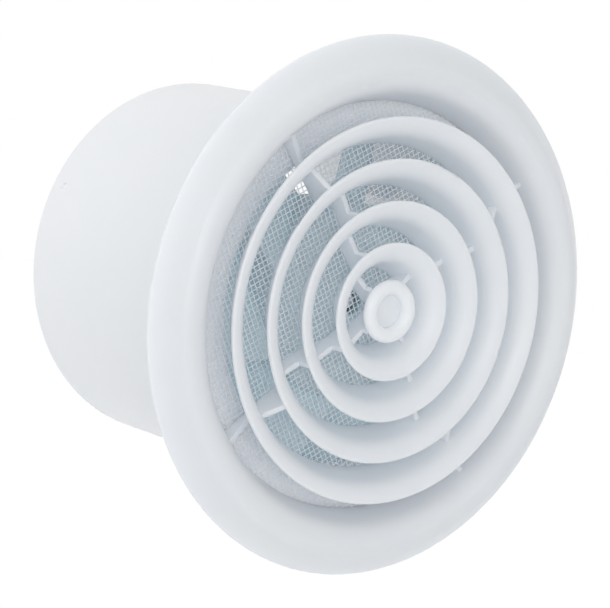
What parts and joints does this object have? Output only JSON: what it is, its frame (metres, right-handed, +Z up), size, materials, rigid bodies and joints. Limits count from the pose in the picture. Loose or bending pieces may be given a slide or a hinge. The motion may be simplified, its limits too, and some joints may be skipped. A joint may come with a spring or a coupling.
{
  "type": "round axial exhaust fan",
  "caption": "Round ceiling exhaust fan: rolled bezel with concentric bell-shaped louvre rings, insect screen, straight duct spigot and an impeller on a motor inside.",
  "frame": {"origin": "on the fan's axis, in the ceiling plane where the flange's back and the bezel's rim lie", "axes": "+Y along the fan's axis into the duct, the grille faces -Y, +Z up"},
  "size_m": [0.1746, 0.1179, 0.1746],
  "materials": {
    "white_gloss": "moulded white, satin gloss",
    "housing_white": "moulded white, satin",
    "screen_net": "woven white net",
    "impeller_plastic": "moulded pale blue grey",
    "support_plastic": "moulded white",
    "terminal_plastic": "moulded ivory",
    "steel": "zinc plated",
    "dark_steel": "blackened",
    "lamination_steel": "stacked sheets",
    "cast_aluminium": "as cast",
    "cover_metal": "pressed",
    "brass": "turned",
    "bronze": "sintered",
    "copper": "enamelled wire",
    "lead_sheath": "soft sheath",
    "black_rubber": "soft"
  },
  "bodies": {
    "housing": {"fan_housing": "housing_white", "motor_support": "support_plastic", "support_screws": "steel", "motor_front_cover": "cover_metal", "motor_rear_cover": "cover_metal", "stator_core": "lamination_steel", "stator_winding": "copper", "front_bush": "bronze", "rear_bush": "bronze", "motor_bolts": "steel", "terminal_block": "terminal_plastic", "terminal_clamps": "brass", "terminal_screws": "steel", "terminal_block_screws": "steel", "terminal_cover": "support_plastic", "motor_leads": "lead_sheath", "cable_grommet": "black_rubber"},
    "rotor": {"impeller": "impeller_plastic", "motor_shaft": "steel", "shaft_clip": "dark_steel", "rotor_core": "lamination_steel", "rotor_end_rings": "cast_aluminium", "thrust_collars": "brass"},
    "grille": {"front_grille": "white_gloss", "insect_screen": "screen_net", "screen_ring": "white_gloss"}
  },
  "joints": [
    {"name": "impeller_spin", "type": "hinge", "parent": "housing", "child": "rotor", "pos_m": [0, 0.0227, 0], "axis": [0, -1, 0], "continuous": true},
    {"name": "grille_pull", "type": "slide", "parent": "housing", "child": "grille", "axis": [0, -1, 0], "range_m": [0, 0.03]}
  ]
}
